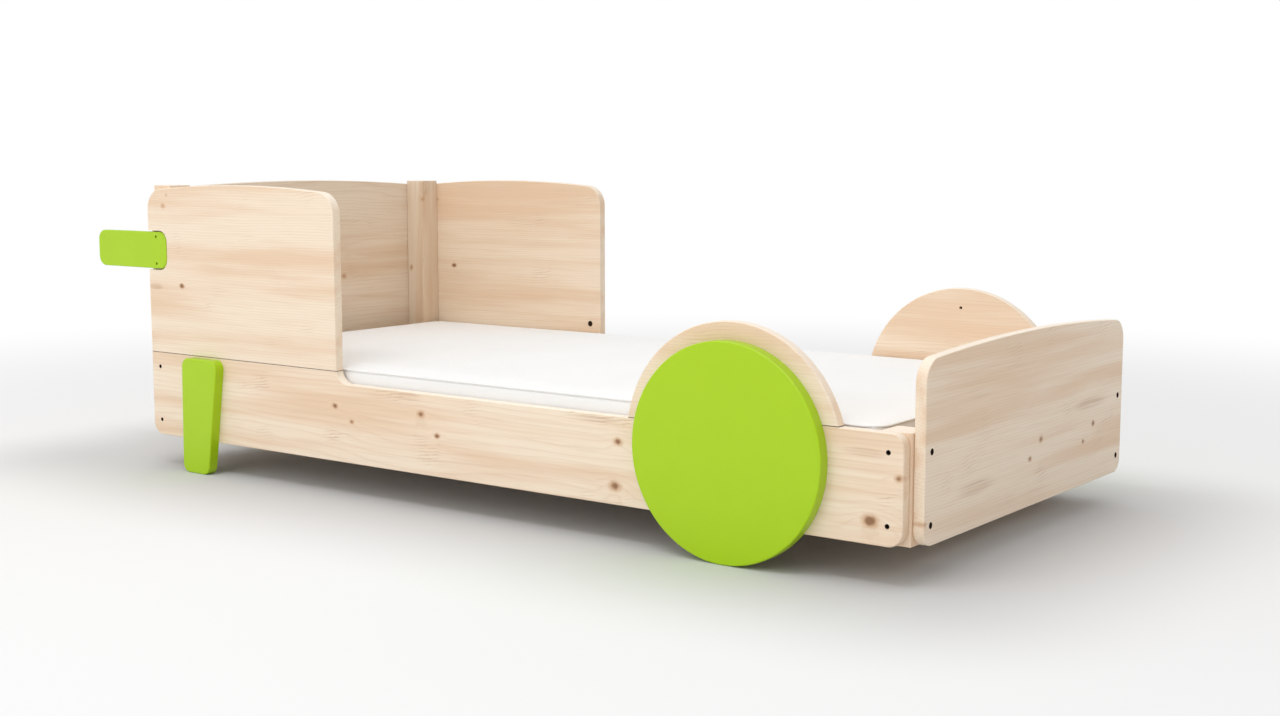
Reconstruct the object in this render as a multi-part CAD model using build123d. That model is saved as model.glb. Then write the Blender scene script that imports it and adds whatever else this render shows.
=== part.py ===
from build123d import *
import math
import os

# A child's single bed in the shape of a little vehicle.
# X runs from the head end to the foot end, Y from the near side to the far side, Z up from the floor.
# Pieces are drawn with x = 0 at the head end of the side rails and y = 0 on the bed's middle plane,
# and are moved along X when they are saved, so that the origin is under the middle of the overall length.

# Boards
board = 22.0             # pine boards: rails, guard panels, arches, headboard, footboard
painted_board = 24.0     # lacquered wheel discs and legs
edge_round = 2.5         # eased edge of the pine boards
painted_round = 3.0      # eased front edge of the wheel discs and the legs

# Side rails
rail_length = 2025.0
inner_width = 912.0      # between the two rails: a 900 mattress with room at each side
underside = 75.0         # clear height under the rails
rail_height = 199.0      # full height, under the guard panel and behind the wheel
entry_drop = 26.0        # how far the top edge is lowered where the child climbs in
entry_radius = 34.0      # hollow curve at both ends of the lowered part
low_corner_radius = 30.0
foot_corner_radius = 25.0

# Guard panels at the head end of both sides
guard_length = 639.0
guard_height = 401.0     # from the seam to the top of its arched edge
guard_rise = 15.5        # rise of the arched edge over its length
guard_corner_radius = 50.0

# Headboard and footboard
end_inset = 28.0         # they end this far inside the rails' outer faces
headboard_height = 602.0
footboard_height = 340.5
end_rise = 17.0
end_corner_radius = 45.0

# Posts inside the four corners
post = 60.0
post_round = 3.0
post_end_round = 1.5
head_post_height = 597.0
head_overhang = 1.0      # the posts stand this much past the rails' head ends
foot_overhang = 4.0      # and this much past their foot ends

# Wheel discs and the arches above them
wheel_radius = 206.0
wheel_inset = 355.0      # wheel centre from the foot end of the rail
arch_reveal = 30.0       # how far the arch shows around the wheel
arch_lift = 4.0          # the arch's centre is this much above the wheel's

# Legs at the head end
leg_inset = 135.0        # from the head end of the rail to the leg's foot
leg_foot_width = 91.5
leg_top_width = 125.0
leg_lean = 5.5           # the head-end edge leans this much from foot to top
leg_height = 271.0
leg_corner_radius = 21.0

# End tabs, which stand out past the head end
tab_length = 260.0
tab_height = 87.0
tab_reach = 194.0        # beyond the head end of the rail
tab_centre = 244.5       # above the seam
tab_corner_radius = 24.0
tab_thickness = 16.0     # it lies flush in a recess of the guard panel's outer face
tab_gap = 3.2            # open line around the tab in its recess

# Open lines where the guard panels and the arches stand on the rails
line_height = 1.0
line_depth = 3.0

# Slatted base
bearer_width = 25.0
bearer_height = 30.0
bearer_lift = 17.0       # above the underside of the rail
bearer_gap = 3.0         # from the posts
bearer_bevel = 2.0
slat_count = 14
slat_width = 70.0
slat_thickness = 18.0
slat_round = 3.0
slat_end_gap = 3.0       # from the rail to the end of a slat
slat_first_gap = 16.0    # from a post to the first slat
tape_width = 25.0
tape_thickness = 1.0
tape_inset = 150.0       # from the rail to the middle of the tape
tape_hold = 56.0         # length of tape on the first and last slat together

# Mattress
mattress_height = 146.0
mattress_crown = 6.0     # rise of its top over the middle
mattress_side_gap = 2.0
mattress_end_gap = 2.0
mattress_lay = 0.3       # clearance above the slats
mattress_bulge = 3.0     # its border swells between the two seams
mattress_edge_radius = 14.0
mattress_corner_radius = 40.0

# Bolts and their threaded inserts in the posts
bolt_inset = 30.0        # rail bolts, from the ends of the rail
bolt_from_bottom = 36.5
bolt_from_seam = 34.0
rail_bolt_diameter = 5.0
rail_bolt_head = 8.5
rail_bolt_head_height = 5.0
end_bolt_diameter = 6.0
end_bolt_head = 11.5
end_bolt_head_height = 6.0
socket_share = 0.5       # corner radius of the hexagon socket, as a share of the bolt's diameter
socket_depth = 2.8
head_sink = 4.0          # the bolt heads lie this deep below the face
head_clearance = 0.25    # around a bolt head
bolt_clearance = 0.2     # around a bolt
insert_length = 18.0
insert_wall = 2.0
headboard_bolt_heights = (345.0, 520.0)   # two more pairs above the underside

# Cam fittings that pull a guard panel down on its rail
cam_diameter = 15.0
cam_height = 12.0
cam_edge = 34.0          # from the ends of the guard panel
cam_rise = 28.0          # above the seam
cam_face_sink = 1.0      # the cam lies this deep below the panel's face
cam_recess_length = 8.0  # arms of the cross recess in the cam's face
cam_recess_width = 1.6
cam_recess_depth = 1.5
cam_bolt_diameter = 7.0
cam_bolt_neck = 4.4
cam_bolt_depth = 24.0    # in the rail
cam_bolt_head = 3.0
cam_room = 0.5           # inside the cam, around the bolt's head and neck
cam_clearance = 0.3

# Dowels
dowel_diameter = 8.0
dowel_length = 40.0
dowel_bevel = 1.0
guard_dowel_places = (0.2, 0.5, 0.8)      # shares of the guard panel's length
arch_dowel_inset = 62.0                   # from both ends of the arch's foot
post_dowel_heights = (60.0, 340.0)        # above the seam, post to guard panel

# Wood screws
screw_diameter = 5.0
screw_head = 9.6
screw_head_height = 2.8
deep_screw_head = 6.6    # screws whose heads lie deep in a narrow hole
deep_screw_sink = 4.0
wheel_screw_length = 34.0
wheel_screw_edge = 10.0  # top screw, from the rim of the wheel
wheel_screw_spread = 220.0
leg_screw_length = 34.0
leg_screw_place = 60.0   # from the leg's head-end edge
leg_screw_margin = 34.0  # from the seam and from the slatted base
tab_screw_length = 46.0
tab_screw_spread = 64.0
bearer_screw_length = 40.0
bearer_screw_count = 5
bearer_screw_end = 90.0  # from the ends of the bearer
slat_screw_length = 34.0

# Places that follow from the sizes above
seam = underside + rail_height
entry = seam - entry_drop
half_inner = inner_width / 2
half_outer = half_inner + board
end_width = 2 * (half_outer - end_inset)
board_middle = -half_inner - board / 2
head_face = -head_overhang
foot_face = rail_length + foot_overhang
overall_head = -tab_reach
overall_foot = foot_face + board
middle_x = (overall_head + overall_foot) / 2
wheel_x = rail_length - wheel_inset
wheel_z = wheel_radius
arch_radius = wheel_radius + arch_reveal
arch_z = wheel_z + arch_lift
bearer_bottom = underside + bearer_lift
bearer_top = bearer_bottom + bearer_height
slat_top = bearer_top + slat_thickness
mattress_bottom = slat_top + mattress_lay
tab_z = seam + tab_centre
tab_back = -half_outer + tab_thickness
post_y = half_inner - post / 2
bolt_heights = (underside + bolt_from_bottom, seam - bolt_from_seam)
headboard_bolts = bolt_heights + tuple(underside + h for h in headboard_bolt_heights)


def ease(solid, axis, skip=None):
    # Round the outline of a board on both its faces, apart from the edges that skip picks
    faces = solid.faces().filter_by(axis).sort_by(axis)
    edges = faces[0].outer_wire().edges() + faces[-1].outer_wire().edges()
    if skip is not None:
        edges = ShapeList([e for e in edges if not skip(e)])
    return fillet(edges, edge_round)


def in_guard_seam(edge):
    # Picks the level edges where the guard panel stands on its rail
    box = edge.bounding_box()
    return box.min.Z > seam - 0.01 and box.max.Z < seam + 0.01 and box.max.X < guard_length + 0.01


def side_board(profile, skip=None):
    # Pine board along the near side: drawn and eased on y = 0, then moved to the rail's plane
    solid = ease(extrude(Plane.XZ * profile, amount=board), Axis.Y, skip)
    return Pos(0, -half_inner, 0) * solid


def painted_side_board(profile):
    # Lacquered board on the outside of the rail, rounded along its front edge
    solid = extrude(Plane.XZ * profile, amount=painted_board)
    front = solid.faces().filter_by(Axis.Y).sort_by(Axis.Y)[0]
    return Pos(0, -half_outer, 0) * fillet(front.outer_wire().edges(), painted_round)


def end_board(profile, inner):
    # Pine board across the bed, from x = inner towards the foot
    return Pos(inner, 0, 0) * ease(extrude(Plane.YZ * profile, amount=board), Axis.X)


def far(solid):
    return mirror(solid, about=Plane.XZ)


def rod(diameter, length, start, direction):
    # A round bar from a start point along a direction
    return extrude(Plane(start, z_dir=direction) * Circle(diameter / 2), amount=length)


def arched_outline(width, height, rise, corner, low_corner):
    # Board outline standing on y = 0, with an arched top edge and rounded corners
    half = width / 2
    shoulder = height - rise
    line = Polyline((-half, shoulder), (-half, 0), (half, 0), (half, shoulder))
    top = ThreePointArc((half, shoulder), (0, height), (-half, shoulder))
    face = make_face(line + top)
    face = fillet(face.vertices().group_by(Axis.Y)[-1], corner)
    if low_corner > 0:
        face = fillet(face.vertices().group_by(Axis.Y)[0], low_corner)
    return face


def socket_bolt(diameter, head, head_height, length, start, direction):
    # Bolt with a round head and a hexagon socket; start is the outer face of the head
    plane = Plane(start, z_dir=direction)
    body = extrude(plane * Circle(head / 2), amount=head_height)
    body += extrude(plane * Circle(diameter / 2), amount=head_height + length)
    return body - extrude(plane * RegularPolygon(diameter * socket_share, 6), amount=socket_depth)


def wood_screw(length, start, direction, head=screw_head):
    # Countersunk screw with a flat head at start and a tip as long as the screw is thick
    rod_radius = screw_diameter / 2
    half = make_face(Polyline((0, 0), (head / 2, 0), (rod_radius, screw_head_height),
                              (rod_radius, length - screw_diameter), (0, length), close=True))
    whole = revolve(Plane.XZ * half, axis=Axis.Z)
    return Plane(start, z_dir=direction) * whole


def sunk_hole(diameter, head, head_height, start, direction):
    # Hole through a board for a bolt, widened for its sunk head
    hole = rod(diameter + 2 * bolt_clearance, board, start, direction)
    return hole + rod(head + 2 * head_clearance, head_sink + head_height, start, direction)


# Places of the fasteners on the near side: each is a start point and a direction

def rail_bolt_places():
    xs = (bolt_inset, rail_length - bolt_inset)
    return [(Vector(x, -half_outer, z), Vector(0, 1, 0)) for x in xs for z in bolt_heights]


def end_bolt_places(face_x, direction, heights):
    # A row at the near post and a row at the far post
    return [(Vector(face_x, side * post_y, z), Vector(direction, 0, 0)) for side in (-1, 1) for z in heights]


def cam_places():
    return [cam_edge, guard_length - cam_edge]


def guard_dowel_xs():
    return [share * guard_length for share in guard_dowel_places]


def arch_foot(height):
    # Half the width of the arch at this height
    return math.sqrt(arch_radius ** 2 - (height - arch_z) ** 2)


def arch_dowel_places():
    return [
        (wheel_x - arch_foot(entry) + arch_dowel_inset, entry),
        (wheel_x + arch_foot(seam) - arch_dowel_inset, seam),
    ]


def wheel_screw_places():
    level = (slat_top + entry) / 2
    top = wheel_z + wheel_radius - wheel_screw_edge
    spread = wheel_screw_spread / 2
    places = [(wheel_x, top), (wheel_x - spread, level), (wheel_x + spread, level)]
    return [(Vector(x, -half_inner, z), Vector(0, -1, 0)) for x, z in places]


def leg_screw_places():
    x = leg_inset + leg_screw_place
    levels = (slat_top + leg_screw_margin, seam - leg_screw_margin)
    return [(Vector(x, -half_inner, z), Vector(0, -1, 0)) for z in levels]


def tab_screw_places():
    x = head_face + post / 2
    levels = (tab_z - tab_screw_spread / 2, tab_z + tab_screw_spread / 2)
    return [(Vector(x, -half_outer, z), Vector(0, 1, 0)) for z in levels]


def bearer_screw_xs():
    first = head_face + post + bearer_gap + bearer_screw_end
    last = foot_face - post - bearer_gap - bearer_screw_end
    step = (last - first) / (bearer_screw_count - 1)
    return [first + n * step for n in range(bearer_screw_count)]


def slat_xs():
    # Middle of each slat, evenly spread between the posts
    first = head_face + post + slat_first_gap + slat_width / 2
    last = foot_face - post - slat_first_gap - slat_width / 2
    return [first + n * (last - first) / (slat_count - 1) for n in range(slat_count)]


# Fasteners on the near side

def make_rail_bolts():
    length = board - head_sink - rail_bolt_head_height + insert_length
    bolts = []
    for start, direction in rail_bolt_places():
        head_at = start + direction * head_sink
        bolts.append(socket_bolt(rail_bolt_diameter, rail_bolt_head, rail_bolt_head_height,
                                 length, head_at, direction))
    return bolts


def make_end_bolts(places):
    length = board - head_sink - end_bolt_head_height + insert_length
    bolts = []
    for start, direction in places:
        head_at = start + direction * head_sink
        bolts.append(socket_bolt(end_bolt_diameter, end_bolt_head, end_bolt_head_height,
                                 length, head_at, direction))
    return bolts


def insert_sleeve(diameter, start, direction):
    # Threaded sleeve in a post; start is on the face of the post
    outer = rod(diameter + 2 * insert_wall, insert_length, start, direction)
    return outer - rod(diameter, insert_length, start, direction)


def make_inserts():
    sleeves = []
    for start, direction in rail_bolt_places():
        sleeves.append(insert_sleeve(rail_bolt_diameter, start + direction * board, direction))
    sleeves += [far(sleeve) for sleeve in sleeves]
    for start, direction in footboard_bolt_places + headboard_bolt_places:
        sleeves.append(insert_sleeve(end_bolt_diameter, start + direction * board, direction))
    return sleeves


def make_cams():
    # Round cam with the curved slot that hooks the head of the bolt, and a cross recess in its face
    cams = []
    neck_room = cam_bolt_neck + 2 * cam_room
    head_room = cam_bolt_diameter + 2 * cam_room
    for x in cam_places():
        centre = Vector(x, -half_inner - cam_face_sink, seam + cam_rise)
        body = rod(cam_diameter, cam_height, centre, (0, -1, 0))
        slot = Pos(x, board_middle, seam + cam_rise / 2) * Box(neck_room, neck_room, cam_rise)
        room = Pos(x, board_middle, seam + cam_rise) * Cylinder(head_room / 2, cam_bolt_head + 2 * cam_room)
        arm = Box(cam_recess_length, 2 * cam_recess_depth, cam_recess_width)
        cross = Pos(*centre) * (arm + Rot(0, 90, 0) * arm)
        cams.append(body - slot - room - cross)
    return cams


def make_cam_bolts():
    # Threaded foot in the rail, a collar on the seam, a neck and the head inside the cam
    bolts = []
    collar_height = cam_rise - cam_diameter / 2 - cam_clearance
    head_level = cam_rise - cam_bolt_head / 2
    for x in cam_places():
        start = Vector(x, board_middle, seam)
        foot = rod(screw_diameter, cam_bolt_depth, start, (0, 0, -1))
        collar = rod(cam_bolt_diameter, collar_height, start, (0, 0, 1))
        neck = rod(cam_bolt_neck, cam_rise, start, (0, 0, 1))
        head = rod(cam_bolt_diameter, cam_bolt_head, start + Vector(0, 0, head_level), (0, 0, 1))
        bolts.append(foot + collar + neck + head)
    return bolts


def dowel(centre, direction):
    # Straight dowel with bevelled ends
    start = centre - direction * (dowel_length / 2)
    body = rod(dowel_diameter, dowel_length, start, direction)
    return chamfer(body.edges().filter_by(GeomType.CIRCLE), dowel_bevel)


def make_guard_dowels():
    return [dowel(Vector(x, board_middle, seam), Vector(0, 0, 1)) for x in guard_dowel_xs()]


def make_arch_dowels():
    return [dowel(Vector(x, board_middle, z), Vector(0, 0, 1)) for x, z in arch_dowel_places()]


def make_post_dowels():
    # Two thirds of the dowel in the post, the rest in the guard panel
    x = head_face + post / 2
    y = -half_inner + dowel_length / 6
    return [dowel(Vector(x, y, seam + h), Vector(0, 1, 0)) for h in post_dowel_heights]


def deep_screws(length, places):
    # Screws whose heads lie below the face that they start from
    return [wood_screw(length, start + direction * deep_screw_sink, direction, deep_screw_head)
            for start, direction in places]


def screw_mouths(places):
    # The open ends of their holes
    width = deep_screw_head + 2 * head_clearance
    return [rod(width, deep_screw_sink, start, direction) for start, direction in places]


def make_bearer_screws():
    z = bearer_bottom + bearer_height / 2
    start_y = -half_inner + bearer_width
    return [wood_screw(bearer_screw_length, (x, start_y, z), (0, -1, 0)) for x in bearer_screw_xs()]


def make_slat_screws():
    # One at each end of the first and of the last slat
    y = -half_inner + bearer_width / 2
    xs = (slat_xs()[0], slat_xs()[-1])
    return [wood_screw(slat_screw_length, (x, y, slat_top), (0, 0, -1)) for x in xs]


# Boards of the near side

def rail_outline():
    # High under the guard panel, lowered for the entry, high again from the middle of the wheel
    reach = math.sqrt(entry_radius ** 2 - (entry_radius - entry_drop) ** 2)
    dip_start = guard_length + reach
    dip_end = wheel_x - reach
    around = Polyline((guard_length, seam), (0, seam), (0, underside), (rail_length, underside),
                      (rail_length, seam), (wheel_x, seam))
    foot_curve = RadiusArc((wheel_x, seam), (dip_end, entry), entry_radius)
    dip = Line((dip_end, entry), (dip_start, entry))
    head_curve = RadiusArc((dip_start, entry), (guard_length, seam), entry_radius)
    face = make_face(around + foot_curve + dip + head_curve)
    face = fillet(face.vertices().group_by(Axis.Y)[0], low_corner_radius)
    top_corners = face.vertices().group_by(Axis.Y)[-1].sort_by(Axis.X)
    return fillet(top_corners[-1], foot_corner_radius)


def under_arch():
    # The stretch of the rail's top edge that the arch stands on
    start = wheel_x - arch_foot(entry)
    end = wheel_x + arch_foot(seam)
    low = entry - 2 * edge_round
    middle = Vector((start + end) / 2, board_middle, (low + seam) / 2)
    return Pos(*middle) * Box(end - start, 2 * board, seam - low)


def make_rail():
    # Its edges are eased, apart from where the guard panel and the arch stand on it
    sharp = Pos(0, -half_inner, 0) * extrude(Plane.XZ * rail_outline(), amount=board)
    rail = side_board(rail_outline(), in_guard_seam) + (sharp & under_arch())
    for start, direction in rail_bolt_places():
        rail -= sunk_hole(rail_bolt_diameter, rail_bolt_head, rail_bolt_head_height, start, direction)
    for piece in cam_bolts + guard_dowels + arch_dowels + bearer_screws + wheel_screws + leg_screws:
        rail -= piece
    for mouth in screw_mouths(wheel_screw_places() + leg_screw_places()):
        rail -= mouth
    return rail


def open_line(start, end, level):
    # Narrow grooves in both faces of a board, along the edge that it stands on
    groove = Box(end - start, 2 * line_depth, line_height)
    middle = Vector((start + end) / 2, 0, level + line_height / 2)
    return [Pos(*middle) * Pos(0, y, 0) * groove for y in (-half_outer, -half_inner)]


def tab_recess():
    # Room for the tab in the guard panel's outer face, open at the head end
    length = tab_length - tab_reach + tab_gap
    height = tab_height + 2 * tab_gap
    outline = Pos(0, tab_z) * RectangleRounded(2 * length, height, tab_corner_radius + tab_gap)
    return Pos(0, tab_back, 0) * extrude(Plane.XZ * outline, amount=tab_thickness)


def make_guard():
    outline = arched_outline(guard_length, guard_height, guard_rise, guard_corner_radius, 0)
    panel = side_board(Pos(guard_length / 2, seam) * outline, in_guard_seam) - tab_recess()
    for groove in open_line(-edge_round, guard_length + edge_round, seam):
        panel -= groove
    for x in cam_places():
        cam_hole = (x, -half_inner, seam + cam_rise)
        panel -= rod(cam_diameter + 2 * cam_clearance, cam_face_sink + cam_height, cam_hole, (0, -1, 0))
        bolt_hole = (x, board_middle, seam)
        panel -= rod(cam_bolt_diameter + 2 * cam_clearance, cam_rise + cam_bolt_head, bolt_hole, (0, 0, 1))
    for piece in guard_dowels + post_dowels + tab_screws:
        panel -= piece
    return panel


def arch_outline():
    disc = Pos(wheel_x, arch_z) * Circle(arch_radius)
    above = Pos(wheel_x, entry + arch_radius) * Rectangle(2 * arch_radius, 2 * arch_radius)
    return (disc & above) - rail_outline()


def make_arch():
    arch = extrude(Plane.XZ * arch_outline(), amount=board)
    rim = arch.edges().filter_by(GeomType.CIRCLE).filter_by(lambda e: abs(e.radius - arch_radius) < 0.01)
    arch = Pos(0, -half_inner, 0) * fillet(rim, edge_round)
    for piece in wheel_screws + arch_dowels + screw_mouths(wheel_screw_places()):
        arch -= piece
    left_line = open_line(wheel_x - arch_radius, wheel_x - wheel_radius / 2, entry)
    right_line = open_line(wheel_x + wheel_radius / 2, wheel_x + arch_radius, seam)
    for groove in left_line + right_line:
        arch -= groove
    return arch


def make_wheel():
    disc = painted_side_board(Pos(wheel_x, wheel_z) * Circle(wheel_radius))
    for piece in wheel_screws:
        disc -= piece
    return disc


def leg_outline():
    x = leg_inset
    top = x + leg_lean
    face = make_face(Polyline((x, 0), (x + leg_foot_width, 0), (top + leg_top_width, leg_height),
                              (top, leg_height), close=True))
    return fillet(face.vertices(), leg_corner_radius)


def make_leg():
    leg = painted_side_board(leg_outline())
    for piece in leg_screws:
        leg -= piece
    return leg


def make_tab():
    outline = Pos(tab_length / 2 - tab_reach, tab_z) * RectangleRounded(tab_length, tab_height, tab_corner_radius)
    tab = Pos(0, tab_back, 0) * ease(extrude(Plane.XZ * outline, amount=tab_thickness), Axis.Y)
    for mouth in screw_mouths(tab_screw_places()):
        tab -= mouth
    for piece in tab_screws:
        tab -= piece
    return tab


# Posts, end boards, slatted base and mattress

def make_post(x, height, bolts):
    # Near post with its head-end face at x
    body = Pos(x + post / 2, -post_y, underside + height / 2) * Box(post, post, height)
    body = fillet(body.edges().filter_by(Axis.Z), post_round)
    body = fillet(body.faces().sort_by(Axis.Z)[-1].outer_wire().edges(), post_end_round)
    for start, direction, diameter in bolts:
        body -= rod(diameter + 2 * insert_wall, insert_length, start + direction * board, direction)
    return body


def post_bolts(near_x, end_places):
    rail = [(s, d, rail_bolt_diameter) for s, d in rail_bolt_places() if abs(s.X - near_x) < post]
    end = [(s, d, end_bolt_diameter) for s, d in end_places if s.Y < 0]
    return rail + end


def make_head_post():
    body = make_post(head_face, head_post_height, post_bolts(head_face, headboard_bolt_places))
    for piece in post_dowels + tab_screws:
        body -= piece
    return body


def make_foot_post():
    return make_post(foot_face - post, rail_height, post_bolts(foot_face, footboard_bolt_places))


def make_end_board(height, inner, places):
    outline = arched_outline(end_width, height, end_rise, end_corner_radius, low_corner_radius)
    panel = end_board(Pos(0, underside) * outline, inner)
    for start, direction in places:
        panel -= sunk_hole(end_bolt_diameter, end_bolt_head, end_bolt_head_height, start, direction)
    return panel


def make_bearer():
    start = head_face + post + bearer_gap
    end = foot_face - post - bearer_gap
    middle = Vector((start + end) / 2, -half_inner + bearer_width / 2, bearer_bottom + bearer_height / 2)
    bearer = Pos(*middle) * Box(end - start, bearer_width, bearer_height)
    bearer = chamfer(bearer.edges().filter_by(Axis.X).group_by(Axis.Y)[-1], bearer_bevel)
    for piece in bearer_screws + slat_screws:
        bearer -= piece
    return bearer


def make_slat(x):
    length = inner_width - 2 * slat_end_gap
    slat = Pos(x, 0, bearer_top + slat_thickness / 2) * Box(slat_width, length, slat_thickness)
    return fillet(slat.edges().filter_by(Axis.Y), slat_round)


def make_tape():
    xs = slat_xs()
    length = xs[-1] - xs[0] + tape_hold
    middle = Vector((xs[0] + xs[-1]) / 2, -half_inner + tape_inset, bearer_top - tape_thickness / 2)
    return Pos(*middle) * Box(length, tape_width, tape_thickness)


def crowned_section(width, crown):
    # Upright section of the mattress: flat foot, swelling borders, crowned top, rounded edges
    half = width / 2
    seam_half = half - mattress_bulge
    level = mattress_height - crown
    corners = ((-seam_half, 0), (seam_half, 0), (seam_half, level), (-seam_half, level))
    base = Line(corners[0], corners[1])
    right = ThreePointArc(corners[1], (half, level / 2), corners[2])
    top = ThreePointArc(corners[2], (0, mattress_height), corners[3])
    left = ThreePointArc(corners[3], (-half, level / 2), corners[0])
    face = make_face(base + right + top + left)
    return fillet(face.vertices(), mattress_edge_radius)


def make_mattress():
    length = foot_face - head_face - 2 * post - 2 * mattress_end_gap
    width = inner_width - 2 * mattress_side_gap
    x = (head_face + foot_face) / 2
    base = mattress_bottom
    across = extrude(Plane.YZ * crowned_section(width, mattress_crown), amount=length / 2, both=True)
    along = extrude(Plane.XZ * crowned_section(length, mattress_crown), amount=width / 2, both=True)
    plan = extrude(RectangleRounded(length, width, mattress_corner_radius), amount=mattress_height)
    return Pos(x, 0, base) * (across & along & plan)


def save(node, pieces):
    # Write one node; several separate solids go in as a group
    if not isinstance(pieces, list):
        pieces = [pieces]
    solids = [solid for piece in pieces for solid in piece.solids()]
    moved = [Pos(-middle_x, 0, 0) * solid for solid in solids]
    shape = moved[0] if len(moved) == 1 else Compound(children=moved)
    shape.label = node
    export_step(shape, f"parts/{node}.step")


def save_pair(name, piece):
    save(f"near_{name}", piece)
    save(f"far_{name}", far(piece))


def both_sides(pieces):
    return pieces + [far(piece) for piece in pieces]


footboard_bolt_places = end_bolt_places(overall_foot, -1, bolt_heights)
headboard_bolt_places = end_bolt_places(head_face - board, 1, headboard_bolts)
cam_bolts = make_cam_bolts()
guard_dowels = make_guard_dowels()
arch_dowels = make_arch_dowels()
post_dowels = make_post_dowels()
wheel_screws = deep_screws(wheel_screw_length, wheel_screw_places())
leg_screws = deep_screws(leg_screw_length, leg_screw_places())
tab_screws = deep_screws(tab_screw_length, tab_screw_places())
bearer_screws = make_bearer_screws()
slat_screws = make_slat_screws()

os.makedirs("parts", exist_ok=True)

save_pair("side_rail", make_rail())
save_pair("guard_panel", make_guard())
save_pair("wheel_arch", make_arch())
save_pair("wheel", make_wheel())
save_pair("leg", make_leg())
save_pair("end_tab", make_tab())
save_pair("head_post", make_head_post())
save_pair("foot_post", make_foot_post())
save_pair("slat_bearer", make_bearer())
save_pair("slat_tape", make_tape())
save("headboard", make_end_board(headboard_height, head_face - board, headboard_bolt_places))
save("footboard", make_end_board(footboard_height, foot_face, footboard_bolt_places))

end_slat_holes = both_sides(slat_screws)
for number, slat_x in enumerate(slat_xs(), start=1):
    slat = make_slat(slat_x)
    if number in (1, slat_count):
        for hole in end_slat_holes:
            slat -= hole
    save(f"slat_{number:02d}", slat)

save("mattress", make_mattress())
save("rail_bolts", both_sides(make_rail_bolts()))
save("headboard_bolts", make_end_bolts(headboard_bolt_places))
save("footboard_bolts", make_end_bolts(footboard_bolt_places))
save("threaded_inserts", make_inserts())
save("cams", both_sides(make_cams()))
save("cam_bolts", both_sides(cam_bolts))
save("guard_dowels", both_sides(guard_dowels))
save("arch_dowels", both_sides(arch_dowels))
save("post_dowels", both_sides(post_dowels))
save("wheel_screws", both_sides(wheel_screws))
save("leg_screws", both_sides(leg_screws))
save("tab_screws", both_sides(tab_screws))
save("bearer_screws", both_sides(bearer_screws))
save("slat_screws", both_sides(slat_screws))
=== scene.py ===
import bpy
import math
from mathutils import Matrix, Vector


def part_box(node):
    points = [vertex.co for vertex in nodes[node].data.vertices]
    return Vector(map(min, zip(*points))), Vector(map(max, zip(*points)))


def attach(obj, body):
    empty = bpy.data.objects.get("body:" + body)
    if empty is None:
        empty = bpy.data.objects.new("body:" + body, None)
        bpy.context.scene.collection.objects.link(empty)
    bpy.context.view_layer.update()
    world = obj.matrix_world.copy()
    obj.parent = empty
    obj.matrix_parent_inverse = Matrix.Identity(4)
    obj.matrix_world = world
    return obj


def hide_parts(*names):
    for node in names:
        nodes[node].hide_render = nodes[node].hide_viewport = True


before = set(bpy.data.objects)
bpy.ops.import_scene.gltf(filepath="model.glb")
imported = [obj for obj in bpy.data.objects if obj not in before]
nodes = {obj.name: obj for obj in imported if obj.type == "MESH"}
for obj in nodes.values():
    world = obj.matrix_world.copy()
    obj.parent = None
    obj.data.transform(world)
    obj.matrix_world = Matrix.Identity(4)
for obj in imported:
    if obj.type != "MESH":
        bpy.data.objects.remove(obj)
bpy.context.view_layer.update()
print("frame loaded,", len(nodes), "nodes")


# Small helpers

def toLinear(hexColour):
    # sRGB hex to the linear colour that the shaders want
    parts = [int(hexColour[i:i + 2], 16) / 255 for i in (1, 3, 5)]
    return [p / 12.92 if p <= 0.04045 else ((p + 0.055) / 1.055) ** 2.4 for p in parts] + [1.0]


def addNode(tree, kind, settings=None, links=None):
    # One node with its settings; a link is a socket, a plain value or a hex colour
    node = tree.nodes.new(kind)
    for key, value in (settings or {}).items():
        if key == "stops":
            ramp = node.color_ramp.elements
            while len(ramp) < len(value):
                ramp.new(0.5)
            for element, (position, colour) in zip(ramp, value):
                element.position = position
                element.color = toLinear(colour) if isinstance(colour, str) else [colour] * 3 + [1.0]
        else:
            setattr(node, key, value)
    for key, value in (links or {}).items():
        socket = node.inputs[key]
        if isinstance(value, bpy.types.NodeSocket):
            tree.links.new(value, socket)
        else:
            socket.default_value = toLinear(value) if isinstance(value, str) else value
    return node


def newMaterial(name):
    material = bpy.data.materials.new(name)
    material.use_nodes = True
    material.node_tree.nodes.clear()
    return material, material.node_tree


def finishMaterial(tree, shader):
    addNode(tree, "ShaderNodeOutputMaterial", None, {"Surface": shader.outputs[0]})


def ownPlace(tree):
    return addNode(tree, "ShaderNodeTexCoord").outputs["Object"]


def vector(tree, operation, first, second=None):
    # Lengths and distances come out as one number
    links = {0: first} if second is None else {0: first, 1: second}
    node = addNode(tree, "ShaderNodeVectorMath", {"operation": operation}, links)
    return node.outputs["Value" if operation in ("LENGTH", "DISTANCE") else "Vector"]


def stepped(tree, value, low, high, most=1.0):
    # Soft step from 0 at low to most at high
    return addNode(tree, "ShaderNodeMapRange", {"interpolation_type": "SMOOTHSTEP"}, {
        "Value": value, "From Min": low, "From Max": high, "To Max": most}).outputs["Result"]


def mixed(tree, share, first, second):
    return addNode(tree, "ShaderNodeMix", {"data_type": "RGBA"}, {0: share, 6: first, 7: second}).outputs[2]


def worked(tree, operation, first, second):
    return addNode(tree, "ShaderNodeMath", {"operation": operation}, {0: first, 1: second}).outputs[0]


def ranged(tree, value, low, high):
    return addNode(tree, "ShaderNodeMapRange", None, {
        "Value": value, "To Min": low, "To Max": high}).outputs["Result"]


def noise(tree, place, scale, detail, roughness=0.5):
    return addNode(tree, "ShaderNodeTexNoise", None, {
        "Vector": place, "Scale": scale, "Detail": detail, "Roughness": roughness}).outputs[0]


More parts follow.
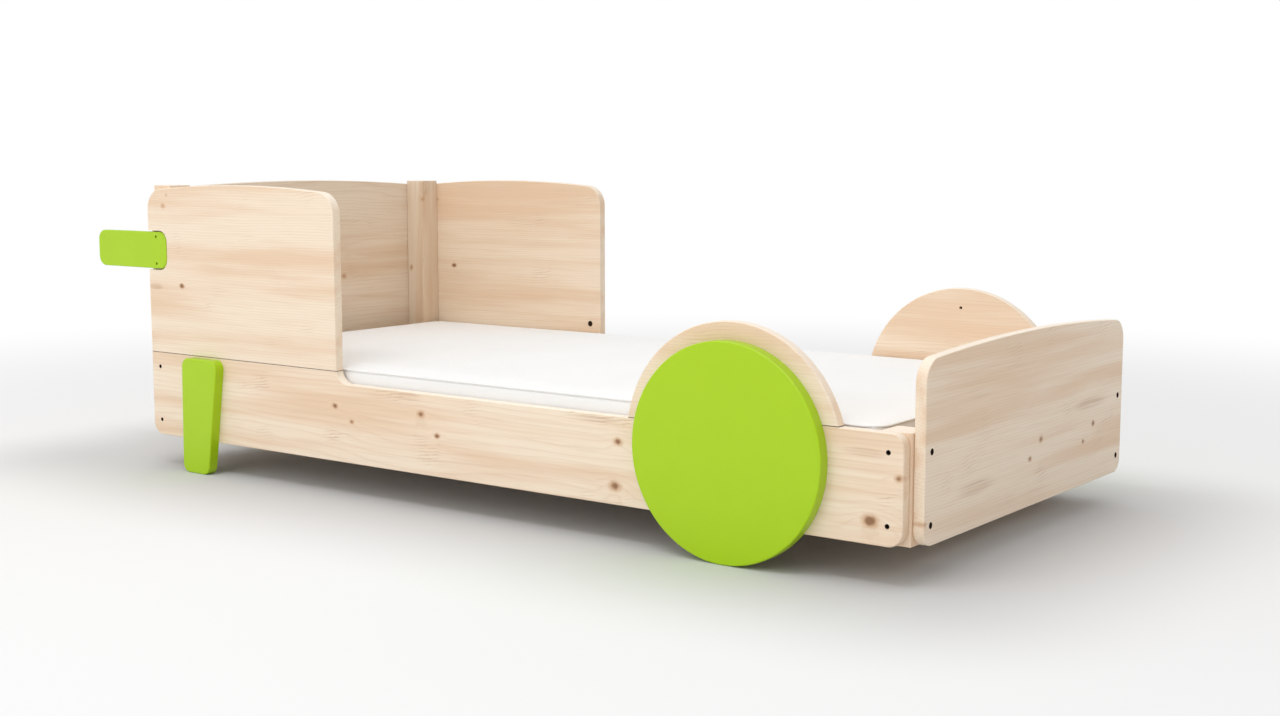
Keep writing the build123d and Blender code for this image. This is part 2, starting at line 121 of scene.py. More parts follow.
def waveScale(width):
    # A wave texture of scale 1 repeats every 2 pi / 20 metres; width is in mm
    return 2 * math.pi / (20 * width / 1000)


def bumped(tree, height, strength, distance):
    return addNode(tree, "ShaderNodeBump", None, {
        "Height": height, "Strength": strength, "Distance": distance}).outputs[0]


def blended(tree, share, first, second):
    return addNode(tree, "ShaderNodeMixShader", None, {
        0: share, 1: first.outputs[0], 2: second.outputs[0]})


def paint(names, material):
    for name in names:
        mesh = nodes[name].data
        mesh.materials.clear()
        mesh.materials.append(material)


def deselectAll():
    if bpy.context.object and bpy.context.object.mode != "OBJECT":
        bpy.ops.object.mode_set(mode="OBJECT")
    bpy.ops.object.select_all(action="DESELECT")


def activate(piece):
    deselectAll()
    piece.select_set(True)
    bpy.context.view_layer.objects.active = piece


# Camera: the photo's place and angle

cameraSetup = {
    "place": (2.4131, -2.9883, 0.74425),
    "tilt": 83.085,      # degrees from straight down
    "turn": 36.756,
    "lens": 47.156,      # mm on a 36 mm wide sensor
}
cameraData = bpy.data.cameras.new("photoCamera")
cameraData.sensor_width = 36
cameraData.lens = cameraSetup["lens"]
cameraData.clip_end = 60
camera = bpy.data.objects.new("photoCamera", cameraData)
camera.location = cameraSetup["place"]
camera.rotation_euler = (math.radians(cameraSetup["tilt"]), 0, math.radians(cameraSetup["turn"]))
bpy.context.scene.collection.objects.link(camera)
bpy.context.scene.camera = camera
bpy.context.scene.view_settings.view_transform = "Standard"
print("camera set")


# Studio: pale floor, white surroundings, soft light from above and from the front

studio = {
    "floorSize": 40.0,
    "floorColour": "#efefef",
    "paintedFloorShade": "#d4d4d4",  # painted shade: greyer right round the bed
    "nearReach": 0.5,        # metres over which it turns pale
    "bedHalf": (1.12, 0.49),
    "skyLight": 0.75,
    "skyAtFoot": 0.42,       # the surroundings are darker beyond the foot end
    "skyTurn": (0.1, 0.9),   # they darken between these steps towards the foot end
    "fadeStart": 1.5,        # metres from the bed where the floor begins to melt into white
    "fadeEnd": 4.2,
    "lamps": [
        # name, place, aim, size across and up, watts
        ("topLamp", (-0.1, -0.3, 3.8), (-0.1, -0.3, 0.0), 8.0, 7.0, 80),
        ("frontLamp", (-0.6, -5.0, 2.2), (0.0, 0.0, 0.3), 4.5, 2.6, 35),
        ("glintLamp", (0.6, -2.4, 4.2), (0.2, 0.0, 0.3), 3.0, 0.3, 26),
    ],
}


def shadedFloorTone(tree, place):
    # Painted shade: greyer next to the bed, paler away from it
    past = vector(tree, "SUBTRACT", vector(tree, "ABSOLUTE", place), (*studio["bedHalf"], 0))
    away = vector(tree, "LENGTH", vector(tree, "MAXIMUM", past, (0, 0, 0)))
    share = stepped(tree, away, 0.0, studio["nearReach"])
    return mixed(tree, share, studio["paintedFloorShade"], studio["floorColour"])


def makeFloor():
    deselectAll()
    bpy.ops.mesh.primitive_plane_add(size=studio["floorSize"], location=(0, 0, 0))
    floor = bpy.context.object
    floor.name = "studioFloor"
    material, tree = newMaterial("matt studio floor")
    place = ownPlace(tree)
    fade = stepped(tree, vector(tree, "LENGTH", place), studio["fadeStart"], studio["fadeEnd"])
    rays = addNode(tree, "ShaderNodeLightPath").outputs
    seen = worked(tree, "MAXIMUM", rays["Is Camera Ray"], rays["Is Glossy Ray"])
    seen = worked(tree, "MAXIMUM", seen, rays["Is Transmission Ray"])
    matt = addNode(tree, "ShaderNodeBsdfDiffuse", None, {"Color": shadedFloorTone(tree, place)})
    white = addNode(tree, "ShaderNodeEmission", None, {"Color": "#ffffff", "Strength": 1.0})
    finishMaterial(tree, blended(tree, worked(tree, "MULTIPLY", fade, seen), matt, white))
    floor.data.materials.append(material)


def makeWorld():
    world = bpy.data.worlds.new("whiteStudio")
    bpy.context.scene.world = world
    world.use_nodes = True
    tree = world.node_tree
    tree.nodes.clear()
    rays = addNode(tree, "ShaderNodeLightPath").outputs
    seen = worked(tree, "MAXIMUM", rays["Is Camera Ray"], rays["Is Transmission Ray"])
    way = addNode(tree, "ShaderNodeTexCoord").outputs["Generated"]
    footward = addNode(tree, "ShaderNodeSeparateXYZ", None, {0: way}).outputs["X"]
    turnStart, turnEnd = studio["skyTurn"]
    level = addNode(tree, "ShaderNodeMapRange", {"interpolation_type": "SMOOTHSTEP"}, {
        "Value": footward, "From Min": turnStart, "From Max": turnEnd,
        "To Min": studio["skyLight"], "To Max": studio["skyAtFoot"]}).outputs["Result"]
    light = addNode(tree, "ShaderNodeBackground", None, {"Color": "#ffffff", "Strength": level})
    white = addNode(tree, "ShaderNodeBackground", None, {"Color": "#ffffff", "Strength": 1.0})
    mix = blended(tree, seen, light, white)
    addNode(tree, "ShaderNodeOutputWorld", None, {"Surface": mix.outputs[0]})


def makeLamps():
    for name, place, aim, width, height, watts in studio["lamps"]:
        data = bpy.data.lights.new(name, "AREA")
        data.shape = "RECTANGLE"
        data.size = width
        data.size_y = height
        data.energy = watts
        lamp = bpy.data.objects.new(name, data)
        lamp.location = place
        lamp.rotation_euler = (Vector(aim) - Vector(place)).to_track_quat("-Z", "Y").to_euler()
        bpy.context.scene.collection.objects.link(lamp)


makeFloor()
makeWorld()
makeLamps()
print("studio set")


# Pine, clear-lacquered: pale plain-sawn boards, soft growth rings, a few small brown knots

pine = {
    "pale": "#fae8d1",
    "warm": "#efd1b2",
    "ring": "#dcb995",
    "stroke": "#bd9268",
    # colour of the painted highlight on faces that face up
    "light": "#fff4e4",
    "knot": "#8a5c38",
    "halo": "#d3a67c",
    "knotStretch": 0.7,      # knots are drawn longer along the grain by its inverse
    "knotSoft": 0.003,       # metres over which a knot's middle fades
    "knotReach": 2.2,        # times its radius
    "bendReach": 5.5,        # the rings bend round it out to this many radii
    "bendPush": 1.4,         # and by this many radii next to it
    "knotRough": 0.006,      # metres that a knot's edge wavers
    # colour of the painted shade in the open lines and the bolt holes
    "paintedShade": "#3a2a1f",
    "ringWidth": 5.5,        # mm; real rings are 2 to 4 mm, drawn wider to show
    "fibreWidth": 3.5,       # mm
    "bandWidth": 60.0,       # mm, broad changes of tone across the grain
    "bandStretch": 0.06,     # along the grain everything is drawn out by its inverse
    "fibreStretch": 0.018,
    "wander": 26.0,          # mm that the rings wander sideways
    "strokeWidth": 6.0,      # mm between the feathery strokes
    "strokeLean": 30.0,      # degrees from the grain
    "patch": 75.0,           # mm, size of the places that have strokes
    "ringShare": 0.26,       # how strongly each layer tints the board
    "fibreShare": 0.26,
    "stainShare": 0.6,
    "paintedHighlightShare": 0.7,       # painted highlight: faces and edges that face up are drawn paler
    "strokeShare": 0.3,
    "pith": (-0.10, 0.055),  # the pith line's place behind the board, in metres
    "roughness": 0.42,
}
turns = {"X": (0, 0, 0), "Y": (0, 0, math.radians(-90)), "Z": (0, math.radians(90), 0)}


def stretched(tree, place, along):
    return vector(tree, "MULTIPLY", place, (along, 1, 1))


def makeKnots(tree, turned, knots, depth):
    # One soft mark per knot, strongest in its middle, and the push that bends the rings round it
    # They run right through a board, but end inside a post, where depth says how deep they lie
    through = 0.0 if depth is None else 0.5
    level = 0.0 if depth is None else depth / 2000
    flat = vector(tree, "MULTIPLY", turned, (pine["knotStretch"], through, 1))
    rough = noise(tree, turned, 90.0, 3.0)
    rough = worked(tree, "MULTIPLY", rough, pine["knotRough"])
    soft = pine["knotSoft"]
    mark = push = 0.0
    for along, across, radius, strength in knots:
        r = radius / 1000
        gap = vector(tree, "DISTANCE", flat, (along / 1000 * pine["knotStretch"], level, across / 1000))
        gap = worked(tree, "ADD", gap, rough)
        marked = stepped(tree, gap, r * pine["knotReach"] + soft, soft, strength)
        pushed = stepped(tree, gap, r * pine["bendReach"] + soft, soft, r * pine["bendPush"])
        mark = worked(tree, "MAXIMUM", mark, marked)
        push = worked(tree, "ADD", push, pushed)
    return mark, push


def makeRings(tree, moved, push):
    # Growth rings round a pith line behind the board
    slow = stretched(tree, moved, pine["bandStretch"] * 2.2)
    drift = noise(tree, slow, 9.0, 2.0, 0.45)
    drift = ranged(tree, drift, -pine["wander"] / 1000, pine["wander"] / 1000)
    drift = worked(tree, "ADD", drift, push)
    sideways = addNode(tree, "ShaderNodeCombineXYZ", None, {"Y": drift, "Z": drift}).outputs[0]
    place = vector(tree, "ADD", slow, sideways)
    place = vector(tree, "ADD", place, (0, *pine["pith"]))
    rings = addNode(tree, "ShaderNodeTexWave", {
        "wave_type": "RINGS", "rings_direction": "X", "wave_profile": "SAW"}, {
        "Vector": place, "Scale": waveScale(pine["ringWidth"]), "Distortion": 1.6,
        "Detail": 2.0, "Detail Scale": 1.2}).outputs["Fac"]
    late = [(0.0, 0.12), (0.30, 0.0), (0.72, 0.25), (0.93, 1.0), (1.0, 0.35)]
    return addNode(tree, "ShaderNodeValToRGB", {"stops": late}, {"Fac": rings}).outputs[0]


def makeStrokes(tree, moved):
    # Short feathery strokes, in patches, where the grain dips into the face
    leaned = addNode(tree, "ShaderNodeMapping", None, {
        "Vector": stretched(tree, moved, 0.2),
        "Rotation": (0, math.radians(pine["strokeLean"]), 0)}).outputs[0]
    lines = addNode(tree, "ShaderNodeTexWave", {"wave_type": "BANDS", "bands_direction": "Z"}, {
        "Vector": leaned, "Scale": waveScale(pine["strokeWidth"]), "Distortion": 4.5,
        "Detail": 3.0, "Detail Scale": 1.6, "Detail Roughness": 0.6}).outputs["Fac"]
    patch = noise(tree, stretched(tree, moved, 0.55), 1000 / pine["patch"], 3.0)
    return worked(tree, "MULTIPLY", stepped(tree, lines, 0.7, 1.0), stepped(tree, patch, 0.55, 0.75))


def makeFootLine(tree, place, lines):
    # The narrow open line under a board is in deep shade; painted shade darkens it below the given level
    parts = addNode(tree, "ShaderNodeSeparateXYZ", None, {0: place})
    shade = 0.0
    for start, end, level in lines:
        under = worked(tree, "LESS_THAN", parts.outputs["Z"], level / 1000)
        after = worked(tree, "GREATER_THAN", parts.outputs["X"], start / 1000)
        before = worked(tree, "LESS_THAN", parts.outputs["X"], end / 1000)
        here = worked(tree, "MULTIPLY", worked(tree, "MULTIPLY", after, before), under)
        shade = worked(tree, "MAXIMUM", shade, here)
    return shade


def makeStains(tree, turned, stains):
    # Long brown patches of resin-rich wood with soft ends
    most = 0.0
    for along, across, halfLength, halfHeight in stains:
        local = vector(tree, "SUBTRACT", turned, (along / 1000, 0, across / 1000))
        local = vector(tree, "MULTIPLY", local, (1000 / halfLength, 0, 1000 / halfHeight))
        away = vector(tree, "LENGTH", local)
        most = worked(tree, "MAXIMUM", most, stepped(tree, away, 1.2, 0.4))
    return most


def makeHoleShade(tree, turned, holes):
    # Painted shade on the walls of the bolt holes
    flat = vector(tree, "MULTIPLY", turned, (1, 0, 1))
    shade = 0.0
    for along, across, radius in holes:
        gap = vector(tree, "DISTANCE", flat, (along / 1000, 0, across / 1000))
        shade = worked(tree, "MAXIMUM", shade, worked(tree, "LESS_THAN", gap, radius / 1000))
    return shade


def makePine(name, grain, shift, knots=(), tone=1.0, depth=None, strokes=pine["strokeShare"],
             lines=None, holes=None, stains=None):
    # grain is the axis it runs along; knots are (along, across, radius, strength), in mm after the turn
    material, tree = newMaterial(name)
    place = ownPlace(tree)
    turned = addNode(tree, "ShaderNodeMapping", None, {"Vector": place, "Rotation": turns[grain]}).outputs[0]
    moved = vector(tree, "ADD", turned, shift)
    mark, push = makeKnots(tree, turned, knots, depth)
    late = makeRings(tree, moved, push)
    band = noise(tree, stretched(tree, moved, pine["bandStretch"]), 1000 / pine["bandWidth"], 3.0, 0.55)
    fibre = noise(tree, stretched(tree, moved, pine["fibreStretch"]), 1000 / pine["fibreWidth"], 3.0, 0.6)

    colour = mixed(tree, stepped(tree, band, 0.40, 0.66), pine["pale"], pine["warm"])
    colour = mixed(tree, worked(tree, "MULTIPLY", late, pine["ringShare"]), colour, pine["ring"])
    colour = mixed(tree, stepped(tree, fibre, 0.45, 0.75, pine["fibreShare"]), colour, pine["ring"])
    share = worked(tree, "MULTIPLY", makeStrokes(tree, moved), strokes)
    colour = mixed(tree, share, colour, pine["stroke"])
    if stains:
        share = worked(tree, "MULTIPLY", makeStains(tree, turned, stains), stepped(tree, fibre, 0.2, 0.8))
        share = worked(tree, "MULTIPLY", share, pine["stainShare"])
        colour = mixed(tree, share, colour, pine["stroke"])
    # Painted highlight: faces that face up are mixed towards the pale highlight colour
    upward = addNode(tree, "ShaderNodeSeparateXYZ", None, {
        0: addNode(tree, "ShaderNodeNewGeometry").outputs["Normal"]}).outputs["Z"]
    colour = mixed(tree, stepped(tree, upward, 0.15, 0.9, pine["paintedHighlightShare"]), colour, pine["light"])
    if knots:
        colour = mixed(tree, stepped(tree, mark, 0.0, 0.6, 0.75), colour, pine["halo"])
        colour = mixed(tree, stepped(tree, mark, 0.45, 0.85, 0.9), colour, pine["knot"])
    # Painted shade along the open line under a board
    if lines:
        colour = mixed(tree, makeFootLine(tree, place, lines), colour, pine["paintedShade"])
    # Painted shade on the walls of the bolt holes
    if holes:
        colour = mixed(tree, makeHoleShade(tree, turned, holes), colour, pine["paintedShade"])
    # tone darkens a whole board: a random tone for the slats, painted shade for some of the boards
    if tone != 1.0:
        colour = addNode(tree, "ShaderNodeHueSaturation", None, {"Color": colour, "Value": tone}).outputs[0]

    bump = bumped(tree, worked(tree, "ADD", fibre, late), 0.12, 0.0006)
    gloss = ranged(tree, fibre, pine["roughness"] - 0.05, pine["roughness"] + 0.12)
    shader = addNode(tree, "ShaderNodeBsdfPrincipled", None, {
        "Base Color": colour, "Roughness": gloss, "IOR": 1.5, "Coat Weight": 0.12, "Coat Roughness": 0.3,
        "Normal": bump})
    finishMaterial(tree, shader)
    return material


# Where the knots lie, in mm from the bed's middle; each board's row is its own
boards = {
    "near_side_rail": ("X", (0.0, 0.0, 0.0), [
        (-295.5, 198, 5, 0.9), (-243.5, 168, 4, 0.8), (-35.5, 204, 6, 0.85), (10.5, 162, 4.5, 0.9),
        (485.5, 199, 6, 0.85), (1087.5, 197, 5, 0.8), (1033.5, 117, 9, 0.95), (478, 112, 8, 0.85)]),
    "far_side_rail": ("X", (1.3, 0.4, 0.2), [(-520, 180, 6, 0.9), (130, 140, 5, 0.8), (700, 205, 7, 0.9)]),
    "near_guard_panel": ("X", (2.1, 0.1, 0.7), [
        (-807.5, 437, 5, 1.0), (-868.5, 624, 5, 0.6), (-855, 650, 3, 0.5)]),
    "far_guard_panel": ("X", (2.1, 0.1, 0.7), [(-808.5, 437, 5, 1.0), (-870, 620, 4, 0.55)]),
    "near_wheel_arch": ("X", (3.7, 0.8, 0.1), []),
    "far_wheel_arch": ("X", (5.2, 0.3, 0.5), []),
    "headboard": ("Y", (0.6, 1.4, 0.3), [(-250, 330, 6, 0.7), (152, 419, 6, 0.65), (310, 250, 7, 0.7)]),
    "footboard": ("Y", (4.4, 0.9, 0.6), [
        (33, 199, 5.5, 0.8), (-17, 167, 4.5, 0.8), (294, 197, 5, 0.85), (244, 166, 4.5, 0.8),
        (-447, 116, 4, 0.55)]),
    "near_head_post": ("Z", (0.9, 2.2, 0.4), [(540, 900, 5, 0.6)]),
    "far_head_post": ("Z", (0.2, 1.7, 0.9), [(622, 871, 4, 0.6), (431, 916, 5, 0.65)]),
    "near_foot_post": ("Z", (1.9, 0.6, 1.4), []),
    "far_foot_post": ("Z", (2.8, 1.1, 0.2), []),
}
# Painted shade: these boards at the head and on the far side are drawn darker for the shade they stand in
paintedShadeTones = {"headboard": 0.87, "far_head_post": 0.86, "far_guard_panel": 0.96, "far_wheel_arch": 0.98}
# Bolt holes: columns and levels in mm, and the radius of the painted shade on the wall
boltLevels = (111.5, 240)
headLevels = (420, 595)      # two more in the headboard
railColumns, railHole = (-898.5, 1066.5), 4.6
endColumns, endHole = (-426, 426), 6.1
railHoles = [(x, z, railHole) for x in railColumns for z in boltLevels]
boltHoles = {
    "near_side_rail": railHoles,
    "far_side_rail": railHoles,
    "footboard": [(y, z, endHole) for y in endColumns for z in boltLevels],
    "headboard": [(y, z, endHole) for y in endColumns for z in boltLevels + headLevels],
}
stains = {
    # along, across, half length, half height in mm
    "near_side_rail": [(-71, 238, 45, 9), (427, 238, 60, 8), (1021, 236, 50, 9)],
    "footboard": [(280, 240, 90, 14), (-250, 150, 80, 16)],
    "near_guard_panel": [(-905, 432, 30, 9)],
}
strokeShares = {"near_side_rail": 0.55, "far_side_rail": 0.55, "footboard": 0.36}
seamLevel = 275.5            # the open line under a guard panel, in mm
entryLevel = 249.5           # and where the rail is lowered
wheelMiddle = 741            # the rail is high again from here on
panelLine = [(-1000, 0, seamLevel)]
archLines = [(0, wheelMiddle, entryLevel), (wheelMiddle, 1100, seamLevel)]
footLines = {"near_guard_panel": panelLine, "far_guard_panel": panelLine,
             "near_wheel_arch": archLines, "far_wheel_arch": archLines}
for nodeName, (grain, shift, knots) in boards.items():
    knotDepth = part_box(nodeName)[0].y * 1000 if "post" in nodeName else None
    boardPine = makePine(
        "lacquered pine " + nodeName.replace("_", " "), grain, shift, knots,
        tone=paintedShadeTones.get(nodeName, 1.0), depth=knotDepth,
        strokes=strokeShares.get(nodeName, pine["strokeShare"]),
        lines=footLines.get(nodeName), holes=boltHoles.get(nodeName), stains=stains.get(nodeName))
    paint([nodeName], boardPine)
print("boards painted")

slatTones = (0.97, 1.0, 0.94)
slatNames = sorted(name for name in nodes if name.startswith("slat_") and name[5:].isdigit())
for n, slatTone in enumerate(slatTones):
    slatPine = makePine("planed spruce %d" % (n + 1), "Y", (0.7 * n, 1.9 * n, 0.3), tone=slatTone)
    paint([name for name in slatNames if int(name[5:]) % len(slatTones) == n], slatPine)
paint(["near_slat_bearer", "far_slat_bearer"],
      makePine("planed spruce bearer", "X", (0.2, 3.1, 0.8), tone=0.97))


# Green lacquer: sprayed in two coats over a sanded board, satin, with a trace of orange peel

green = {
    "colour": "#b0d809",
    "deep": "#abd304",
    "peel": 3.0,             # mm between the bumps of the sprayed coat
    "roughness": 0.33,
}


def makeGreen():
    material, tree = newMaterial("sprayed green lacquer")
    place = ownPlace(tree)
    cloud = noise(tree, place, 14.0, 3.0)
    peel = noise(tree, place, 1000 / green["peel"], 1.0)
    colour = mixed(tree, cloud, green["colour"], green["deep"])
    gloss = ranged(tree, cloud, green["roughness"] - 0.04, green["roughness"] + 0.06)
    bump = bumped(tree, peel, 0.06, 0.0004)
    shader = addNode(tree, "ShaderNodeBsdfPrincipled", None, {
        "Base Color": colour, "Roughness": gloss, "Specular IOR Level": 0.3, "Coat Weight": 0.25,
        "Coat Roughness": 0.12, "Normal": bump})
    finishMaterial(tree, shader)
    return material


paint([side + part for side in ("near_", "far_") for part in ("wheel", "leg", "end_tab")], makeGreen())


# Fittings: blackened steel bolts and screws, bronze-coloured cams, beech dowels

fittings = {
    "blackSteel": "#0b0a0a",
    "cam": "#3a2417",
    "zinc": "#8f9295",
    "beech": "#cfa274",
    "beechDark": "#b98a5e",
    "scratch": 2.0,          # mm between tool marks
}


def makeMetal(name, colour, metallic, roughness):
    material, tree = newMaterial(name)
    place = ownPlace(tree)
    marks = noise(tree, place, 1000 / fittings["scratch"], 4.0)
    tint = addNode(tree, "ShaderNodeHueSaturation", None, {
        "Color": colour, "Value": ranged(tree, marks, 0.8, 1.2)}).outputs[0]
    gloss = ranged(tree, marks, roughness - 0.08, roughness + 0.12)
    bump = bumped(tree, marks, 0.1, 0.0002)
    shader = addNode(tree, "ShaderNodeBsdfPrincipled", None, {
        "Base Color": tint, "Metallic": metallic, "Roughness": gloss, "Specular IOR Level": 0.3,
        "Normal": bump})
    finishMaterial(tree, shader)
    return material


def makeBeech():
    material, tree = newMaterial("turned beech")
    place = ownPlace(tree)
    fleck = noise(tree, place, 600.0, 3.0)
    colour = mixed(tree, fleck, fittings["beech"], fittings["beechDark"])
    bump = bumped(tree, fleck, 0.15, 0.0003)
    shader = addNode(tree, "ShaderNodeBsdfPrincipled", None, {
        "Base Color": colour, "Roughness": 0.6, "Normal": bump})
    finishMaterial(tree, shader)
    return material


blackSteel = makeMetal("blackened steel", fittings["blackSteel"], 0.0, 0.8)
zincSteel = makeMetal("zinc-plated steel", fittings["zinc"], 1.0, 0.36)
camMetal = makeMetal("bronze-coloured cast zinc", fittings["cam"], 0.5, 0.5)
paint(["rail_bolts", "headboard_bolts", "footboard_bolts"], blackSteel)
paint(["tab_screws", "wheel_screws", "leg_screws"], blackSteel)
paint(["threaded_inserts", "cam_bolts", "bearer_screws", "slat_screws"], zincSteel)
paint(["cams"], camMetal)
paint(["guard_dowels", "arch_dowels", "post_dowels"], makeBeech())
print("fittings painted")


# Mattress: foam core in a white knitted cover, sewn with a piped seam round the top and the bottom

mattress = {
    "knit": "#f7f7f6",
    "knitShade": "#f1f1f0",
    "voxel": 0.014,          # metres between the cloth's points
    "shrink": 0.0015,        # the cloth starts this much inside the solid
    "mostMove": 0.006,       # most that the cloth may swell or sink
    "frames": 14,
    "pressure": 3.0,
    "pipe": 0.0021,          # radius of the piping
    "seamInset": 0.0045,     # piping's centre, in from the sides and down from the top edge
    "stitch": 3.2,           # mm between the ribs of the knit
    "crown": 0.006,          # rise of the top over the middle, above the top seam
    "corner": 0.040,         # radius of the corners seen from above
    "sideBand": 0.012,       # cloth this near the sides can be held at a seam
    "footBand": 0.002,       # cloth this near the slats is held flat
    "footGap": 0.0004,       # least room left above the slats
    "swell": 0.001,          # most that the cloth may pass the solid
}


def makeKnit():
    # A fine rib knit: soft, matt, with a little fuzz at grazing angles
    material, tree = newMaterial("white rib knit")
    place = ownPlace(tree)
    cloud = noise(tree, place, 5.0, 3.0)
    colour = mixed(tree, cloud, mattress["knit"], mattress["knitShade"])
    ribScale = waveScale(mattress["stitch"])
    ribs, loops = [addNode(tree, "ShaderNodeTexWave", {"wave_type": "BANDS", "bands_direction": way}, {
        "Vector": place, "Scale": ribScale, "Distortion": 0.6, "Detail Scale": 3.0}).outputs["Fac"]
        for way in ("X", "DIAGONAL")]
    height = worked(tree, "MULTIPLY", ribs, loops)
    bump = bumped(tree, height, 0.35, 0.0007)
    shader = addNode(tree, "ShaderNodeBsdfPrincipled", None, {
        "Base Color": colour, "Roughness": 0.85, "Sheen Weight": 0.2, "Sheen Roughness": 0.5,
        "Specular IOR Level": 0.3, "Normal": bump})
    finishMaterial(tree, shader)
    return material


def seamLevels():
    low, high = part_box("mattress")
    return low.z + mattress["seamInset"], high.z - mattress["crown"] - mattress["seamInset"]


def makeMattress(knit):
    solid = nodes["mattress"]
    low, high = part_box("mattress")
    cover = solid.copy()
    cover.data = solid.data.copy()
    cover.parent = None
    cover.name = "mattress_cover"
    for key in list(cover.keys()):
        del cover[key]
    bpy.context.scene.collection.objects.link(cover)
    activate(cover)
    bpy.ops.object.mode_set(mode="EDIT")
    bpy.ops.mesh.select_all(action="SELECT")
    bpy.ops.mesh.remove_doubles(threshold=0.00001)
    bpy.ops.object.mode_set(mode="OBJECT")
    for v in cover.data.vertices:
        v.co -= v.normal * mattress["shrink"]
    cover.data.remesh_voxel_size = mattress["voxel"]
    bpy.ops.object.voxel_remesh()
    start = [v.co.copy() for v in cover.data.vertices]

    # the seam lines are held, the panels between them swell
    held = cover.vertex_groups.new(name="held")
    reach = mattress["voxel"] * 0.9
    lowSeam, topSeam = seamLevels()
    for v in cover.data.vertices:
        inward = min(high.x - v.co.x, v.co.x - low.x, high.y - v.co.y, v.co.y - low.y)
        if inward < mattress["sideBand"] and min(abs(v.co.z - topSeam), abs(v.co.z - lowSeam)) < reach:
            held.add([v.index], 1.0, "REPLACE")
        elif v.co.z < low.z + mattress["footBand"]:
            held.add([v.index], 1.0, "REPLACE")
    cloth = cover.modifiers.new("cloth", "CLOTH")
    cloth.settings.quality = 6
    cloth.settings.mass = 0.3
    cloth.settings.tension_stiffness = 12
    cloth.settings.bending_stiffness = 1.5
    cloth.settings.use_pressure = True
    cloth.settings.uniform_pressure_force = mattress["pressure"]
    cloth.settings.effector_weights.gravity = 0
    cloth.settings.vertex_group_mass = "held"
    cloth.point_cache.frame_start = 1
    cloth.point_cache.frame_end = mattress["frames"]
    for f in range(1, mattress["frames"] + 1):
        bpy.context.scene.frame_set(f)
    shaped = cover.evaluated_get(bpy.context.evaluated_depsgraph_get())
    moved = [v.co.copy() for v in shaped.data.vertices]
    cover.modifiers.remove(cloth)
    bpy.context.scene.frame_set(1)
    swell = mattress["swell"]
    for v, a, b in zip(cover.data.vertices, start, moved):
        step = b - a
        if step.length > mattress["mostMove"]:
            step = step.normalized() * mattress["mostMove"]
        v.co = a + step
        v.co.z = max(v.co.z, low.z + mattress["footGap"])
        v.co.y = max(min(v.co.y, high.y + swell), low.y - swell)
        v.co.x = max(min(v.co.x, high.x + swell), low.x - swell)
    smooth = cover.modifiers.new("smooth", "SUBSURF")
    smooth.levels = 1
    smooth.render_levels = 1
    activate(cover)
    bpy.ops.object.modifier_apply(modifier="smooth")
    bpy.ops.object.shade_smooth()
    cover.data.materials.clear()
    cover.data.materials.append(knit)
    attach(cover, "loose_mattress")
    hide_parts("mattress")
    return cover


def makePiping(knit, level, name):
    # A bevelled plane's outline, turned into a round cord
    low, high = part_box("mattress")
    inset = mattress["seamInset"]
    width, depth = high.x - low.x - 2 * inset, high.y - low.y - 2 * inset
    deselectAll()
    bpy.ops.mesh.primitive_plane_add(size=1, location=((low.x + high.x) / 2, 0, level))
    pipe = bpy.context.object
    pipe.name = name
    pipe.scale = (width, depth, 1)
    bpy.ops.object.transform_apply(location=True, rotation=True, scale=True)
    bpy.ops.object.mode_set(mode="EDIT")
    bpy.ops.mesh.select_all(action="SELECT")
    bpy.ops.mesh.bevel(offset=mattress["corner"] - inset, segments=10, affect="VERTICES")
    bpy.ops.mesh.delete(type="ONLY_FACE")
    bpy.ops.object.mode_set(mode="OBJECT")
    bpy.ops.object.convert(target="CURVE")
    pipe = bpy.context.object
    pipe.data.bevel_depth = mattress["pipe"]
    pipe.data.bevel_resolution = 3
    bpy.ops.object.convert(target="MESH")
    pipe = bpy.context.object
    bpy.ops.object.shade_smooth()
    pipe.data.materials.clear()
    pipe.data.materials.append(knit)
    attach(pipe, "loose_mattress")


knit = makeKnit()
mattressCover = makeMattress(knit)
lowSeamLevel, topSeamLevel = seamLevels()
makePiping(knit, topSeamLevel, "mattress_top_piping")
makePiping(knit, lowSeamLevel, "mattress_bottom_piping")
print("mattress made,", len(mattressCover.data.polygons), "faces")


# Slat tapes: woven webbing under the slats, hanging a little between them

tape = {
    "colour": "#e9e5da",
    "thread": "#cfc9b8",
    "sag": 0.004,            # between two slats
    "thickness": 0.001,
    "threadWidth": 1.6,      # mm, drawn as coarse as it needs to show
    "gap": 0.0001,           # below the slats, so that no faces meet
    "cuts": 7,               # halvings of its length, enough for the sag
}


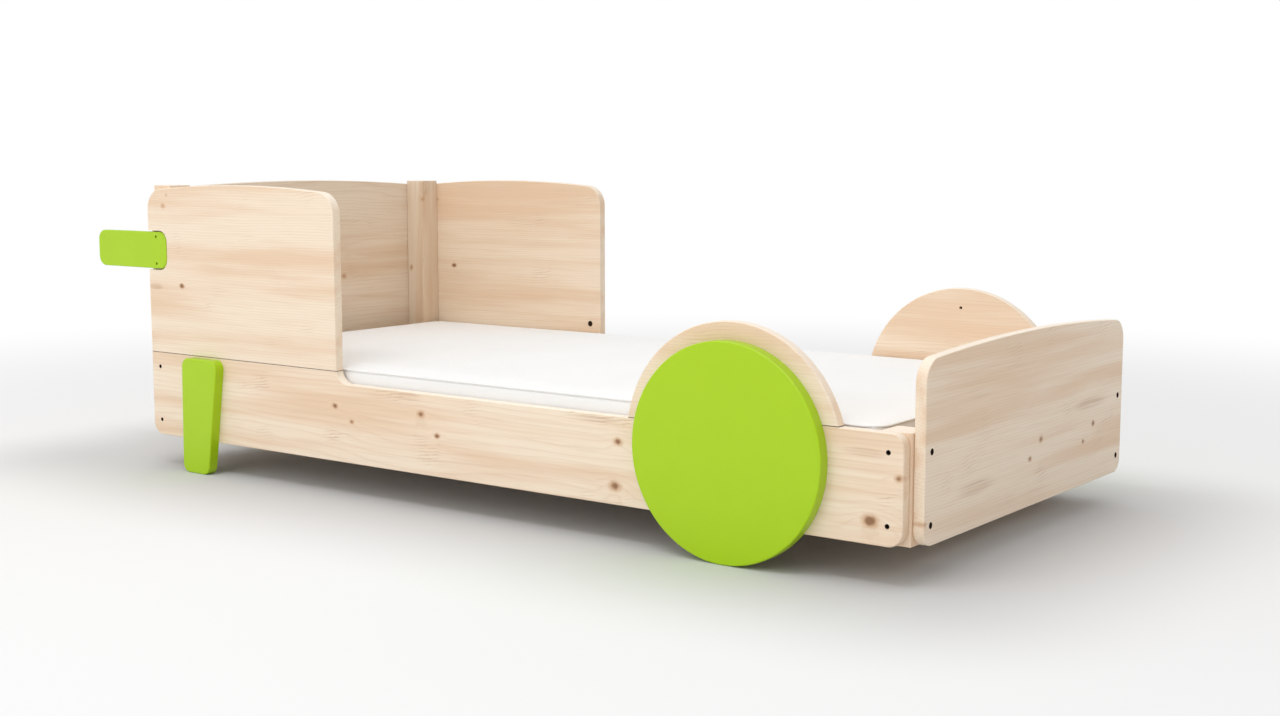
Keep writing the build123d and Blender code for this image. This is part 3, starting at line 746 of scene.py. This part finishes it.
def makeWebbing():
    material, tree = newMaterial("cotton webbing")
    place = ownPlace(tree)
    scale = waveScale(tape["threadWidth"])
    warp, weft = [addNode(tree, "ShaderNodeTexWave", {"bands_direction": way}, {
        "Vector": place, "Scale": scale}).outputs["Fac"] for way in "XY"]
    weave = worked(tree, "MULTIPLY", warp, weft)
    colour = mixed(tree, weave, tape["thread"], tape["colour"])
    bump = bumped(tree, weave, 0.5, 0.0004)
    shader = addNode(tree, "ShaderNodeBsdfPrincipled", None, {
        "Base Color": colour, "Roughness": 0.9, "Sheen Weight": 0.15, "Normal": bump})
    finishMaterial(tree, shader)
    return material


def makeTape(side, webbing):
    name = side + "_slat_tape"
    low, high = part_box(name)
    deselectAll()
    middleX, middleY = (low.x + high.x) / 2, (low.y + high.y) / 2
    bpy.ops.mesh.primitive_plane_add(size=1, location=(middleX, middleY, high.z - tape["gap"]))
    strip = bpy.context.object
    strip.name = side + "_webbing"
    strip.scale = (high.x - low.x, high.y - low.y, 1)
    bpy.ops.object.transform_apply(location=True, rotation=True, scale=True)
    bpy.ops.object.mode_set(mode="EDIT")
    bpy.ops.mesh.select_all(action="SELECT")
    bpy.ops.mesh.subdivide(number_cuts=1)
    bpy.ops.object.mode_set(mode="OBJECT")
    cut = strip.modifiers.new("cut", "SUBSURF")
    cut.subdivision_type = "SIMPLE"
    cut.levels = cut.render_levels = tape["cuts"]
    bpy.ops.object.modifier_apply(modifier="cut")
    spans = [(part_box(a)[1].x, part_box(b)[0].x) for a, b in zip(slatNames, slatNames[1:])]
    for v in strip.data.vertices:
        for a, b in spans:
            if a < v.co.x < b:
                v.co.z -= tape["sag"] * math.sin(math.pi * (v.co.x - a) / (b - a)) ** 2
    thick = strip.modifiers.new("thick", "SOLIDIFY")
    thick.thickness = tape["thickness"]
    thick.offset = -1
    bpy.ops.object.modifier_apply(modifier="thick")
    bpy.ops.object.shade_smooth_by_angle(angle=0.6)
    strip.data.materials.append(webbing)
    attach(strip, "bed_frame")
    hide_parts(name)


webbing = makeWebbing()
for side in ("near", "far"):
    makeTape(side, webbing)
print("tapes made")
